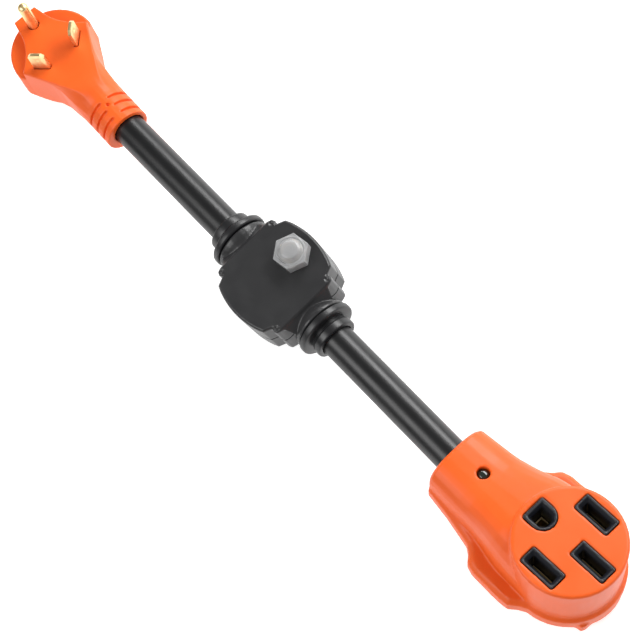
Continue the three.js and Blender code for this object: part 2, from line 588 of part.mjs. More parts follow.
function makeGround() {
  const cup = cut(box(53.2, 57.7, -3.4, 3.4, 4, 13), box(54, 62, -2.6, 2.6, 5, 17));
  const tail = join(box(53.2, 56.2, -3.4, -2.6, -5.8, 4.5), box(48.7, 56.2, -3.4, -2.6, -5.8, -3.2));
  return cut(join(cup, tail, barrel(43.5, -4.5, -4.5)), barrelHole(43.5, -4.5, -4.5));
}

const tailHoles = (z0, z1) => [
  box(LINE_TAIL.x0 - GAP, LINE_TAIL.x1 + GAP, HOT_Y - 2.0, HOT_Y - 0.65, z0, z1),
  box(LINE_TAIL.x0 - GAP, LINE_TAIL.x1 + GAP, 0.65 - HOT_Y, 2.0 - HOT_Y, z0, z1),
];

function makeContactCover() {
  return cut(cylinderZ(CORE_R, -0.5, 2.7, CONNECTOR_X, 0, 40), ...tailHoles(-2, 4),
    box(78.4, 82.3, -2.0, -0.65, -2, 4), box(52.9, 56.5, -3.7, -2.3, -2, 4));
}

const makeBridge = () => cut(box(68, 76, -18.4, 18.4, -1.9, -0.9), ...tailHoles(-3, 0));

function makeLamp() {
  return turnedZ([[8.6, 0], [8.6, 2.7], [11.6, 2.7], [12.6, 2.2], [13.1, 1.2], [13.2, 0]], 28)
    .translate([21.9, 0, 0]);
}

add(connector, 'connector_shell', makeConnectorShell(), ORANGE);
add(connector, 'connector_core', makeCore(), CORE);
add(connector, 'contact_cover', makeContactCover(), CARRIER);
add(connector, 'line_contact_a', makeHot(1), BRASS);
add(connector, 'line_contact_b', makeHot(-1), BRASS);
add(connector, 'line_bridge', makeBridge(), BRASS);
add(connector, 'neutral_contact', makeNeutral(), BRASS);
add(connector, 'ground_contact', makeGround(), BRASS);
add(connector, 'power_lamp', makeLamp(), LENS);
add(connector, 'lamp_resistor', cylinderX(0.9, 24, 30, 0, 6.8, 16), CARRIER);

// ---------------------------------------------------------------- cables
for (const [name, [x0, x1]] of Object.entries(JACKET_ENDS)) {
  const jacket = cut(cylinderX(CABLE_R, x0, x1, 0, AXIS_Z, 36), cylinderX(JACKET_BORE, x0 - 1, x1 + 1, 0, AXIS_Z, 24));
  add(adapter, `cable_jacket_${name}`, jacket, JACKET);
}

const inside = (where, points) => points.map((p) => new THREE.Vector3(...p).applyMatrix4(where.matrix));

function straight(wire, x0, x1) {
  const [y, z] = WIRES[wire];
  return [x0, x0 + 3, x1 - 3, x1].map((x) => new THREE.Vector3(x, y, z + AXIS_Z));
}

const plugRuns = {
  line: [[[46.4, -8.5, -3.2], [43.5, -8.5, -3.2], [41.2, -8.4, -3.2], [38, -7.4, -3.0], [33.5, -4.8, -2.4]],
    [[-16.2, 2.4, -3.2], [-13.6, 2.1, -5.6], [-11.4, 2, -6.25], [-9.5, 2, -6.3], [-7.1, 2, -6.3]]],
  neutral: [[[46.4, 8.5, -3.2], [43.5, 8.5, -3.2], [41.4, 8.5, -3.1], [38, 7.5, -1.0], [34.6, 4.8, 2.4], [30, 1.4, 3.4]],
    [[-15.6, -3.0, 3.9], [-12.2, -6.6, 4.4], [-9.2, -8.35, 4.5], [-6, -8.5, 4.5], [-2, -8.5, 4.5]]],
  ground: [[[67.4, 0, -3.2], [62, 0, -3.2], [52, 0, -3.2], [40, 0, -3.6], [34, 0.8, -3.6], [29, 1.6, -2.3]],
    [[-15.6, -6.0, -3.0], [-12.2, -10.0, -4.9], [-9.2, -11.8, -5.45], [-6, -12, -5.5], [-2, -12, -5.5]]],
};
const connectorRuns = {
  line: [[[7.1, 2, -6.3], [9.5, 2, -6.3], [11.4, 2, -6.25], [13.6, 2.1, -5.6], [16.2, 2.4, -3.2]],
    [[20, 2.9, -0.9], [32, 4.6, -2], [42, 8.5, -4.4], [52, 11.9, -5.5], [60, 13, -5.5], [63, 13, -5.5], [66.4, 13, -5.5]]],
  neutral: [[[2, -8.5, 4.5], [6, -8.5, 4.5], [9.2, -8.35, 4.5], [12.2, -6.6, 4.4], [15.6, -3.0, 3.9]],
    [[20, -0.8, 2.8], [32, 0.4, 1.4], [42, 1.8, -2.4], [51, 2.8, -5.0], [62, 0.4, -5.5], [69, -1.3, -5.5], [73, -1.35, -5.5],
      [76.4, -1.35, -5.5]]],
  ground: [[[2, -12, -5.5], [6, -12, -5.5], [9.2, -11.8, -5.45], [12.2, -10.0, -4.9], [15.6, -6.0, -3.0]],
    [[20, -2.1, -2.2], [33, -3.8, -3.8], [42.5, -4.5, -4.5], [47.9, -4.5, -4.5]]],
};

const wireLooks = { line: BLACK_WIRE, neutral: WHITE_WIRE, ground: GREEN_WIRE };
for (const wire of Object.keys(WIRES)) {
  const [fromPlug, toBox] = plugRuns[wire];
  const first = [...inside(plug, fromPlug), ...straight(wire, -141.5, -18.6), ...inside(breakerBox, toBox)];
  add(adapter, `${wire}_wire_plug`, bar(first, WIRE_R), wireLooks[wire]);
  const [fromBox, toConnector] = connectorRuns[wire];
  const second = [...inside(breakerBox, fromBox), ...straight(wire, 18.6, 131), ...inside(connector, toConnector)];
  add(adapter, `${wire}_wire_connector`, bar(second, WIRE_R), wireLooks[wire]);
}

export default adapter;
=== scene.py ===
# %% [markdown]
# # A short power adapter lead
# A heavy black cable joins a small three-pin plug, a breaker box and a four-slot connector.
# The measured model comes first and is never changed. Almost every part is then made again from it
# with a finer surface, and every part gets a material built from nodes.

# %% Load the measured model
import json
import math
from contextlib import contextmanager

import bmesh
import bpy
import numpy as np
from mathutils import Matrix, Vector


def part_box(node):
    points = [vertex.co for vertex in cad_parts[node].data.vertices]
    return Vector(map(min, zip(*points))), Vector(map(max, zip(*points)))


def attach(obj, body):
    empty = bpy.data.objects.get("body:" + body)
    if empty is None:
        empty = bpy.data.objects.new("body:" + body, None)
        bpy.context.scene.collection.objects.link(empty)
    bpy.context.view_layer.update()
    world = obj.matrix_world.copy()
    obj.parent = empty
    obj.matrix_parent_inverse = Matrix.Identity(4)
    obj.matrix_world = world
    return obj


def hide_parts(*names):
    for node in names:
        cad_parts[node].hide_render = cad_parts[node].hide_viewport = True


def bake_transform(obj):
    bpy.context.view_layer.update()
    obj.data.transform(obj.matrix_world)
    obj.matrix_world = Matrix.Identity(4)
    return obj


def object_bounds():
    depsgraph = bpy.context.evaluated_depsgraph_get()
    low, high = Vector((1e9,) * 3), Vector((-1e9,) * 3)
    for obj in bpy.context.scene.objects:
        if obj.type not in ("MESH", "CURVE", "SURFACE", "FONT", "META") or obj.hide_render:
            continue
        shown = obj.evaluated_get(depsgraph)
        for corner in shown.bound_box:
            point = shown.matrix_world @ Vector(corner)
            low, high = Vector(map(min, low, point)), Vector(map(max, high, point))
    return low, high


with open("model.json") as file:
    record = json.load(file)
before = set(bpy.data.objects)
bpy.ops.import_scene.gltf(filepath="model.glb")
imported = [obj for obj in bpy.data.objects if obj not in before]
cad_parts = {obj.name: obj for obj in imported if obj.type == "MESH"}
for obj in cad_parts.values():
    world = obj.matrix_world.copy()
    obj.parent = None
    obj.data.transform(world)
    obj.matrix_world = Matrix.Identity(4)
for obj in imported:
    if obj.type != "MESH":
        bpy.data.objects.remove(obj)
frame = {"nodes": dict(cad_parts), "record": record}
cad_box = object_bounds()
print("nodes", len(frame["nodes"]))

# %% [markdown]
# ## Where the mouldings lie
# The plug and the connector were moulded separately and lie a little rolled about the cable.
# One matrix for each says where it lies, so a detail can be written in the moulding's own terms:
# x outward from the neck, y across, z up from the cable's middle, in millimetres.

# %% Where the mouldings lie
MM = 0.001
AXIS = 14.0


def lies(position, roll, turn):
    """A moulding's place: its origin in millimetres, its roll about the cable and its turn."""
    rolled = Matrix.Rotation(math.radians(roll), 4, "X")
    turned = Matrix.Rotation(math.radians(turn), 4, "Z")
    return Matrix.Translation(Vector(position) * MM) @ turned @ rolled


PLUG = lies((-118, -1, AXIS), 7.2, 178.8)
CONNECTOR = lies((115.5, 0, AXIS), -15, 3)
BOX = lies((0, 0, AXIS), 0, 0)
print("plug at", PLUG.translation, "connector at", CONNECTOR.translation)

# %% [markdown]
# ## Camera
# A long lens far above the lead keeps its parts nearly the same size from end to end. The camera is
# placed by a direction and a distance, and the three directions of its frame are worked out from
# them, which is easier to read than three angles.

# %% Camera
TILT, TURN, DISTANCE = math.radians(21.7), math.radians(45.47), 0.817
FOCAL_LENGTH, SENSOR_WIDTH, SHIFT_UP = 98.44, 36, 0.00375
CLIP_NEAR, CLIP_FAR = 0.05, 20


def link(name, data):
    """A new object that shows the data, put into the scene."""
    thing = bpy.data.objects.new(name, data)
    bpy.context.scene.collection.objects.link(thing)
    return thing


def aimed(right, up, toward, position):
    """The place of a thing that looks against toward."""
    return Matrix.Translation(position) @ Matrix((right, up, toward)).transposed().to_4x4()


target = Vector((27.5, 0, AXIS)) * MM
toward = Vector((math.sin(TILT), 0, math.cos(TILT)))
level = Vector((math.cos(TILT), 0, -math.sin(TILT)))
across = Vector((0, 1, 0))
right = level * math.cos(TURN) + across * math.sin(TURN)
up = across * math.cos(TURN) - level * math.sin(TURN)
camera = link("camera", bpy.data.cameras.new("camera"))
camera.matrix_world = aimed(right, up, toward, target + toward * DISTANCE)
camera.data.lens = FOCAL_LENGTH
camera.data.sensor_width = SENSOR_WIDTH
camera.data.shift_y = SHIFT_UP
camera.data.clip_start, camera.data.clip_end = CLIP_NEAR, CLIP_FAR
bpy.context.scene.camera = camera
print("camera", round(DISTANCE, 3), "m from the lead")

# %% [markdown]
# ## Floor
# A pale floor that glows a little stands in for the paper of a small studio. It is one large square
# just under the lead, with its edges far away.

# %% Floor
FLOOR_SIZE, FLOOR_GAP, FLOOR_GLOW = 8, 0.0005, 0.5
half, floor_height = FLOOR_SIZE / 2, cad_box[0][2] - FLOOR_GAP
floor_mesh = bpy.data.meshes.new("floor")
floor_mesh.from_pydata([(x, y, floor_height) for x, y in
                        ((-half, -half), (half, -half), (half, half), (-half, half))], [], [(0, 1, 2, 3)])
floor = link("floor", floor_mesh)
paper = bpy.data.materials.new("pale_floor")
paper.use_nodes = True
paper_shader = paper.node_tree.nodes["Principled BSDF"]
paper_shader.inputs["Base Color"].default_value = (0.90, 0.90, 0.90, 1)
paper_shader.inputs["Roughness"].default_value = 0.95
paper_shader.inputs["Emission Color"].default_value = (1, 1, 1, 1)
paper_shader.inputs["Emission Strength"].default_value = FLOOR_GLOW
floor.data.materials.append(paper)
print("floor at", round(floor_height, 4), "m")

# %% [markdown]
# ## Light
# Two soft boxes stand either side of the lead, and a long narrow one puts a thin highlight along
# the round cable. The world adds a weak even light, so that no side is quite black.

# %% Light
LIGHT_DISTANCE, WORLD_STRENGTH = 1.0, 0.25
LENGTHWAYS = Vector((1, 0, 0))


def softbox(name, direction, width, height, power):
    """An area light aimed at the middle of the lead, its width along the lead."""
    z = direction.normalized()
    x = (LENGTHWAYS - z * LENGTHWAYS.dot(z)).normalized()
    light = bpy.data.lights.new(name, "AREA")
    light.shape, light.size, light.size_y, light.energy = "RECTANGLE", width, height, power
    link(name, light).matrix_world = aimed(x, z.cross(x), z, target + z * LIGHT_DISTANCE)


softbox("key", Vector((-0.10, 0.84, 0.50)), 1.0, 0.4, 9.0)
softbox("fill", Vector((-0.10, -0.60, 0.78)), 0.9, 0.5, 6.5)
softbox("strip", Vector((-0.3, 0.76, 0.58)), 1.8, 0.15, 6.0)
world = bpy.data.worlds.new("studio")
world.use_nodes = True
world.node_tree.nodes["Background"].inputs["Color"].default_value = (1, 1, 1, 1)
world.node_tree.nodes["Background"].inputs["Strength"].default_value = WORLD_STRENGTH
bpy.context.scene.world = world
bpy.context.scene.view_settings.view_transform = "Standard"
print("lights", [light.name for light in bpy.data.lights])

# %% [markdown]
# ## Helpers for node trees
# A tree is built by adding nodes, filling their sockets and linking them. One helper opens a tree
# with named inputs and outputs, and another adds a node and fills it in one call.

# %% Tree helpers
FLOAT, INTEGER, VECTOR = "NodeSocketFloat", "NodeSocketInt", "NodeSocketVector"
GEOMETRY = "NodeSocketGeometry"


def new_tree(name, inputs, outputs, family="ShaderNodeTree"):
    """A tree with its input and output nodes. An input is (label, kind) or (label, kind, value)."""
    tree = bpy.data.node_groups.new(name, family)
    for label, kind, *value in inputs:
        socket = tree.interface.new_socket(label, in_out="INPUT", socket_type=kind)
        if value:
            socket.default_value = value[0]
    for label, kind in outputs:
        tree.interface.new_socket(label, in_out="OUTPUT", socket_type=kind)
    return tree, tree.nodes.new("NodeGroupInput"), tree.nodes.new("NodeGroupOutput")


def put(tree, kind, links=(), **settings):
    """A node with its settings, its plain socket values and what is linked into it."""
    node = tree.nodes.new(kind)
    for key, value in settings.items():
        setattr(node, key, value)
    for socket, value in links:
        if isinstance(value, bpy.types.NodeSocket):
            tree.links.new(value, node.inputs[socket])
        else:
            node.inputs[socket].default_value = value
    return node


print("sockets", FLOAT, INTEGER, VECTOR, GEOMETRY)

# %% [markdown]
# ## Moulded grain
# Moulded plastic has a fine grain and a slow unevenness in its gloss. Both are noise, one small and
# one large, and a node group lets every moulded material use them with its own sizes.

# %% Moulded grain
grain, given, result = new_tree(
    "Moulded_Grain", [("Vector", VECTOR), ("Size", FLOAT, 2500.0), ("Patch", FLOAT, 60.0)],
    [("Height", FLOAT), ("Unevenness", FLOAT)])
fine = put(grain, "ShaderNodeTexNoise", [
    ("Vector", given.outputs["Vector"]), ("Scale", given.outputs["Size"]),
    ("Detail", 3.0), ("Roughness", 0.6)])
slow = put(grain, "ShaderNodeTexNoise", [
    ("Vector", given.outputs["Vector"]), ("Scale", given.outputs["Patch"]),
    ("Detail", 4.0), ("Roughness", 0.55), ("Distortion", 0.4)])
grain.links.new(fine.outputs["Fac"], result.inputs["Height"])
grain.links.new(slow.outputs["Fac"], result.inputs["Unevenness"])
print("group", grain.name)

# %% [markdown]
# ## Drawn streaks
# Drawn or rolled metal has streaks along one direction. Stretching the noise makes them: its
# place is multiplied by a small number along the metal and a large one across it.

# %% Drawn streaks
streaks, given, result = new_tree(
    "Drawn_Streaks", [("Vector", VECTOR), ("Along", FLOAT, 60.0), ("Across", FLOAT, 3000.0)],
    [("Height", FLOAT), ("Unevenness", FLOAT)])
stretch = put(streaks, "ShaderNodeCombineXYZ", [
    ("X", given.outputs["Across"]), ("Y", given.outputs["Across"]), ("Z", given.outputs["Along"])])
scaled = put(streaks, "ShaderNodeVectorMath", [
    (0, given.outputs["Vector"]), (1, stretch.outputs[0])], operation="MULTIPLY")
lines = put(streaks, "ShaderNodeTexNoise", [
    ("Vector", scaled.outputs[0]), ("Scale", 1.0), ("Detail", 3.0)])
blotch = put(streaks, "ShaderNodeTexNoise", [
    ("Vector", given.outputs["Vector"]), ("Scale", 220.0), ("Detail", 3.0)])
streaks.links.new(lines.outputs["Fac"], result.inputs["Height"])
streaks.links.new(blotch.outputs["Fac"], result.inputs["Unevenness"])
print("group", streaks.name)

# %% [markdown]
# ## Finishes
# One helper builds a finish: a colour that drifts a little between two close tones, a gloss that
# drifts with it, and a fine bump. What is the same all over is set straight on the shader.

# %% Finish helper
NOISE_LOW, NOISE_HIGH = 0.3, 0.7
LOOKS = {}


def finish(slot, name, dark, light, gloss, bump, group=grain, sizes=(2500.0, 60.0), **plain):
    """Makes a slot's material. gloss is (smoothest, roughest); bump is (strength, depth in metres)."""
    made = bpy.data.materials.new(name)
    made.use_nodes = True
    tree = made.node_tree
    shader = tree.nodes["Principled BSDF"]
    place = put(tree, "ShaderNodeTexCoord")
    effect = put(tree, "ShaderNodeGroup", node_tree=group)
    tree.links.new(place.outputs["Object"], effect.inputs["Vector"])
    for socket, size in zip(list(effect.inputs)[1:], sizes):
        socket.default_value = size
    tone = put(tree, "ShaderNodeMix", data_type="RGBA")
    for socket in tone.inputs:
        if socket.type == "RGBA":
            socket.default_value = (*(dark if socket.name == "A" else light), 1)
    tree.links.new(effect.outputs["Unevenness"], tone.inputs["Factor"])
    colour = next(s for s in tone.outputs if s.type == "RGBA")
    tree.links.new(colour, shader.inputs["Base Color"])
    rough = put(tree, "ShaderNodeMapRange", [
        ("Value", effect.outputs["Unevenness"]), ("From Min", NOISE_LOW), ("From Max", NOISE_HIGH),
        ("To Min", gloss[0]), ("To Max", gloss[1])])
    tree.links.new(rough.outputs["Result"], shader.inputs["Roughness"])
    bumps = put(tree, "ShaderNodeBump", [
        ("Strength", bump[0]), ("Distance", bump[1]), ("Height", effect.outputs["Height"])])
    tree.links.new(bumps.outputs["Normal"], shader.inputs["Normal"])
    for socket, value in plain.items():
        shader.inputs[socket.replace("_", " ")].default_value = value
    LOOKS[slot] = made
    print("finish", name)


# %% [markdown]
# The plug and the connector are a satin orange vinyl. The box is a dark grey hard plastic, the
# collars and the jacket are black rubber and vinyl, and the core round the slots is a harder black.

# %% Outer plastics
finish("orange_pvc", "Orange_Vinyl", (0.80, 0.100, 0.010), (0.87, 0.125, 0.014),
       (0.36, 0.46), (0.12, 0.00004), Specular_IOR_Level=0.35)
finish("housing_plastic", "Grey_Housing_Plastic", (0.019, 0.019, 0.020), (0.025, 0.025, 0.026),
       (0.30, 0.40), (0.16, 0.00005), sizes=(3200.0, 80.0))
finish("collar_rubber", "Collar_Rubber", (0.007, 0.007, 0.008), (0.011, 0.011, 0.012),
       (0.30, 0.42), (0.10, 0.00004))
finish("cable_jacket", "Black_Cable_Jacket", (0.003, 0.003, 0.0035), (0.005, 0.005, 0.0055),
       (0.30, 0.38), (0.10, 0.00004), sizes=(1800.0, 40.0))
finish("socket_core", "Black_Socket_Moulding", (0.009, 0.010, 0.014), (0.014, 0.015, 0.020),
       (0.34, 0.44), (0.08, 0.00003))

# %% [markdown]
# Inside, the breaker's case is a brown heat-proof moulding and the blades sit in natural nylon.

# %% Inner plastics
finish("phenolic", "Brown_Breaker_Moulding", (0.06, 0.036, 0.024), (0.085, 0.055, 0.036),
       (0.5, 0.65), (0.15, 0.00004))
finish("natural_nylon", "Natural_Nylon", (0.60, 0.57, 0.49), (0.70, 0.67, 0.59),
       (0.45, 0.6), (0.10, 0.00004))

# %% [markdown]
# The metals use the streaks in place of the grain.

# %% Metals
finish("brass", "Bright_Brass", (0.82, 0.60, 0.28), (0.90, 0.70, 0.38),
       (0.32, 0.46), (0.10, 0.00002), group=streaks, sizes=(60.0, 3000.0), Metallic=1.0)
finish("zinc_steel", "Zinc_Plated_Steel", (0.52, 0.53, 0.55), (0.66, 0.67, 0.69),
       (0.26, 0.42), (0.10, 0.00002), group=streaks, sizes=(200.0, 2500.0), Metallic=1.0)

# %% [markdown]
# The boot over the reset button is a cloudy silicone that lets some light through. The lamp's lens
# is a dark glossy plastic, unlit.

# %% Boot and lens
finish("clear_silicone", "Clear_Silicone", (0.60, 0.605, 0.61), (0.68, 0.685, 0.69),
       (0.08, 0.16), (0.08, 0.00004), Transmission_Weight=0.6, IOR=1.41)
finish("lamp_lens", "Lamp_Lens", (0.008, 0.013, 0.010), (0.012, 0.020, 0.015),
       (0.06, 0.12), (0.02, 0.00002), Coat_Weight=0.6)

# %% [markdown]
# The three conductors are told apart by colour: black for line, white for neutral, green for ground.

# %% Insulation
for colour, dark, light in (("black", (0.013, 0.013, 0.013), (0.02, 0.02, 0.02)),
                            ("white", (0.70, 0.70, 0.67), (0.78, 0.78, 0.75)),
                            ("green", (0.022, 0.21, 0.055), (0.032, 0.26, 0.075))):
    finish(f"{colour}_insulation", f"{colour.title()}_Insulation", dark, light,
           (0.4, 0.5), (0.08, 0.00003))

# %% [markdown]
# Every measured part takes the finish of its material slot, so a part that isn't made again below
# still looks right.

# %% Finishes on the measured parts
slot_of = {s["node"]: s["material_slot"] for s in frame["record"]["subparts"]}
body_of = {n: b for b, ns in frame["record"]["behaviour"]["bodies"].items() for n in ns}
for node, thing in frame["nodes"].items():
    thing.data.materials.clear()
    thing.data.materials.append(LOOKS[slot_of[node]])
print("finishes", len(LOOKS))

# %% [markdown]
# ## Helpers for the pieces
# The measured meshes are loose triangles, so a copy is welded before it is worked on. Modifiers do
# most of the shaping, and each is applied, so that a finished piece is a plain mesh.

# %% Piece helpers
WELD, SEAM = 2e-6, 1e-7


@contextmanager
def editing(mesh):
    """Opens a mesh as a bmesh and writes it back at the end."""
    bm = bmesh.new()
    bm.from_mesh(mesh)
    yield bm
    bm.to_mesh(mesh)
    bm.free()


def welded(node, name):
    """A welded copy of a measured node, as a new object."""
    mesh = frame["nodes"][node].data.copy()
    mesh.name = name
    with editing(mesh) as bm:
        bmesh.ops.remove_doubles(bm, verts=bm.verts, dist=WELD)
    return link(name, mesh)


def seal(bm):
    """Merges the doubles of a swept shape and makes its normals agree."""
    bmesh.ops.remove_doubles(bm, verts=bm.verts, dist=SEAM)
    bmesh.ops.recalc_face_normals(bm, faces=bm.faces)


def baked(thing):
    """Applies every modifier and keeps the result as a plain mesh."""
    bpy.context.view_layer.update()
    seen = thing.evaluated_get(bpy.context.evaluated_depsgraph_get())
    mesh = bpy.data.meshes.new_from_object(seen)
    thing.modifiers.clear()
    old, thing.data = thing.data, mesh
    bpy.data.meshes.remove(old)
    return thing


def shade(thing, angle):
    """Smooth shading, broken at edges sharper than the angle where one is given."""
    thing.data.polygons.foreach_set("use_smooth", [True] * len(thing.data.polygons))
    if angle:
        thing.data.set_sharp_from_angle(angle=math.radians(angle))
    return thing


def dress(thing, nodes, ride=True):
    """Gives the piece its finish, lets it ride on its body and stand for its measured nodes."""
    slot = slot_of[nodes[0]]
    thing.data.materials.clear()
    thing.data.materials.append(LOOKS[slot])
    if ride:
        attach(thing, body_of[nodes[0]])
    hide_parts(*nodes)
    print(thing.name, len(thing.data.polygons), "faces")


# %% [markdown]
# ## Soft mouldings
# A soft moulding is rebuilt on a fine even grid and then relaxed, which rounds every edge by a
# fraction of a millimetre, as the mould does. Bevels would need clean edges, and these shapes come
# from joined and cut solids. Where one shape flows into the next, one stretch is relaxed further.

# %% Moulding helpers
FADE, HOLE_FADE = 4.0, 2.0
LEAST_WEIGHT = 0.01


def relax(thing, name, passes):
    """A smoothing modifier of half strength."""
    modifier = thing.modifiers.new(name, "SMOOTH")
    modifier.factor, modifier.iterations = 0.5, passes
    return modifier


def flow(thing, matrix, low, high, passes, holes):
    """Relaxes a moulding between low and high along its own x, but not near its holes."""
    inverse = matrix.inverted()
    places = np.array([list(inverse @ v.co) for v in thing.data.vertices]) / MM
    weight = np.clip(np.minimum(places[:, 0] - low, high - places[:, 0]) / FADE, 0, 1)
    for x, y, radius in holes:
        away = np.hypot(places[:, 0] - x, places[:, 1] - y)
        weight *= np.clip((away - radius) / HOLE_FADE, 0, 1)
    group = thing.vertex_groups.new(name="flow")
    for k in np.nonzero(weight > LEAST_WEIGHT)[0]:
        group.add([int(k)], float(weight[k]), "REPLACE")
    relax(thing, "flow", passes).vertex_group = "flow"
    baked(thing)
    thing.vertex_groups.clear()


def soften(node, name, grid, passes, zone=None):
    """A moulded piece on an even grid in millimetres, relaxed. zone is what flow() takes."""
    thing = welded(node, name)
    remesh = thing.modifiers.new("grid", "REMESH")
    remesh.mode, remesh.voxel_size, remesh.adaptivity = "VOXEL", grid * MM, 0.0
    relax(thing, "relax", passes)
    baked(thing)
    if zone:
        flow(thing, *zone)
    dress(shade(thing, 0), [node])


# %% [markdown]
# ## Plug moulding
# The plug's vinyl is cast round its blades in one shot, so it has no sharp edge anywhere.


def pick(full_look):
    return full_look


soften("plug_shell", "plug_moulding", pick(0.40), 2, zone=(PLUG, 16, 44, pick(12), []))

# %% [markdown]
# ## Connector moulding
# The connector is the same vinyl. Its shoulder runs smoothly into the round face, but the hole for
# the lamp stays crisp, so it is named as a place to leave alone.

# %% Connector moulding
LAMP_PLACE, LAMP_CLEARANCE = 21.9, 5.0
soften("connector_shell", "connector_moulding", pick(0.56), 2,
       zone=(CONNECTOR, 6, 58, pick(12), [(LAMP_PLACE, 0, LAMP_CLEARANCE)]))

# %% [markdown]
# ## Socket core
# The black block holds the contacts, and its bosses rise through the face round each slot.

# %% Socket core
soften("connector_core", "socket_core", pick(0.36), 1)

# %% [markdown]
# ## Blades and pin
# These are brass, stamped or folded from strip, with bright flats and slightly rounded edges.
# A bevel keeps the flats, which the grid of a soft moulding would not.

# %% Blades and pin
FLAT_ANGLE, BEVEL_ANGLE, CRISP_ANGLE = 1.0, 34, 28


def crisp(node, name, width, segments=2):
    """A stamped, turned or hard moulded piece: flats kept, edges bevelled by width in millimetres."""
    thing = welded(node, name)
    with editing(thing.data) as bm:
        bmesh.ops.dissolve_limit(bm, angle_limit=math.radians(FLAT_ANGLE), verts=bm.verts,
                                 edges=bm.edges)
    bevel = thing.modifiers.new("bevel", "BEVEL")
    bevel.width, bevel.segments, bevel.limit_method = width * MM, segments, "ANGLE"
    bevel.angle_limit = math.radians(BEVEL_ANGLE)
    bevel.use_clamp_overlap = True
    dress(shade(baked(thing), CRISP_ANGLE), [node])


crisp("line_blade", "line_blade_brass", 0.28, 3)
crisp("neutral_blade", "neutral_blade_brass", 0.28, 3)
crisp("ground_pin", "ground_pin_brass", 0.2)

# %% [markdown]
# ## Breaker box
# Two halves of hard plastic, screwed together from below. The upper one is relaxed more, so that
# its edges and its domed ends look a little softer.

# %% Box halves
box_grid = pick(0.40)
soften("housing_upper_shell", "box_upper_half", box_grid, 3)
soften("housing_lower_shell", "box_lower_half", box_grid, 1)

# %% [markdown]
# ## Seal boot
# A six-sided silicone boot with a low dome keeps water out of the reset button.

# %% Seal boot
soften("seal_boot", "seal_boot_silicone", pick(0.16), 1)

# %% [markdown]
# ## Collars
# The collar at each end of the box is a turned shape with two rings, so one profile, spun about the
# cable, makes both. The second is its mirror image, and its normals are worked out afterwards.

# %% Collars
LATHE_ANGLE = 30
COLLAR = [(18, 8.55), (18, 11.2), (18.2, 11.4), (19.7, 11.4), (19.9, 11.2), (19.9, 10.4), (29.9, 10.4),
          (29.9, 14.1), (30.1, 14.6), (30.6, 14.95), (31.2, 15), (32.4, 15), (33.0, 14.9), (33.4, 14.6),
          (33.6, 14.1), (33.6, 9.9), (35.3, 9.9), (35.3, 10.4), (35.5, 10.75), (35.9, 10.95), (36.5, 11),
          (38.7, 11), (39.3, 10.9), (39.7, 10.6), (39.8, 10.2), (39.8, 8.75), (39.6, 8.55)]


def lathe(name, profile, matrix, node, axis="X", steps=96):
    """A turned piece. The profile is a closed ring of (along, radius) points in millimetres."""
    ring = [(a * MM, r * MM) for a, r in profile]
    count = len(ring)
    points, faces = [], []
    for k in range(steps):
        c, s = math.cos(2 * math.pi * k / steps), math.sin(2 * math.pi * k / steps)
        points += [(a, r * c, r * s) if axis == "X" else (r * c, r * s, a) for a, r in ring]
        for i in range(count):
            j, n = (i + 1) % count, (k + 1) % steps
            faces.append((k * count + i, k * count + j, n * count + j, n * count + i))
    mesh = bpy.data.meshes.new(name)
    mesh.from_pydata([matrix @ Vector(p) for p in points], [], faces)
    with editing(mesh) as bm:
        seal(bm)
    dress(shade(link(name, mesh), LATHE_ANGLE), [node])


lathe("collar_connector_side", COLLAR, BOX, "cable_collar_connector")
lathe("collar_plug_side", [(-a, r) for a, r in COLLAR], BOX, "cable_collar_plug")

# %% [markdown]
# ## Cable
# The jacket is one straight tube each side of the box. A Geometry Nodes tree sweeps a circle along
# a line, so the tube's length, radius and fineness are named inputs.

# %% Tube tree
def end_tree(tree, geometry, material, end):
    """Ends a tree in real geometry that wears the material."""
    real = put(tree, "GeometryNodeRealizeInstances", [("Geometry", geometry)])
    skin = put(tree, "GeometryNodeSetMaterial", [
        ("Geometry", real.outputs["Geometry"]), ("Material", material)])
    tree.links.new(skin.outputs["Geometry"], end.inputs["Geometry"])


def tube_tree(material):
    tree, given, end = new_tree(
        "Swept_Tube", [("Start", VECTOR), ("End", VECTOR), ("Radius", FLOAT), ("Rings", INTEGER),
                       ("Sides", INTEGER)], [("Geometry", GEOMETRY)], "GeometryNodeTree")
    line = put(tree, "GeometryNodeCurvePrimitiveLine", [
        ("Start", given.outputs["Start"]), ("End", given.outputs["End"])])
    rings = put(tree, "GeometryNodeResampleCurve", [
        ("Curve", line.outputs["Curve"]), ("Count", given.outputs["Rings"])])
    circle = put(tree, "GeometryNodeCurvePrimitiveCircle", [
        ("Resolution", given.outputs["Sides"]), ("Radius", given.outputs["Radius"])])
    sweep = put(tree, "GeometryNodeCurveToMesh", [
        ("Curve", rings.outputs["Curve"]), ("Profile Curve", circle.outputs["Curve"])])
    end_tree(tree, sweep.outputs["Mesh"], material, end)
    return tree


def set_inputs(modifier, values):
    """Sets a tree's inputs by their socket's identifier, found from the name."""
    for socket in modifier.node_group.interface.items_tree:
        if socket.in_out == "INPUT" and socket.name in values:
            modifier[socket.identifier] = values[socket.name]


TUBE = tube_tree(LOOKS["cable_jacket"])
print("tree", TUBE.name)

# %% [markdown]
# ## Jackets
# A Solidify gives the swept tube its wall. The wall grows inwards from faces that point outwards, so
# the faces are turned first where they need it. Each jacket's place is then baked into its mesh.

# %% Jackets
JACKET_RADIUS, JACKET_WALL, JACKET_RINGS, JACKET_SIDES = 8.25, 2.05, 110, 72
JACKET_ANGLE = 40
SPANS = {"plug": (-0.1175, -0.041), "connector": (0.041, 0.1175)}


def bend(thing):
    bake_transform(thing)


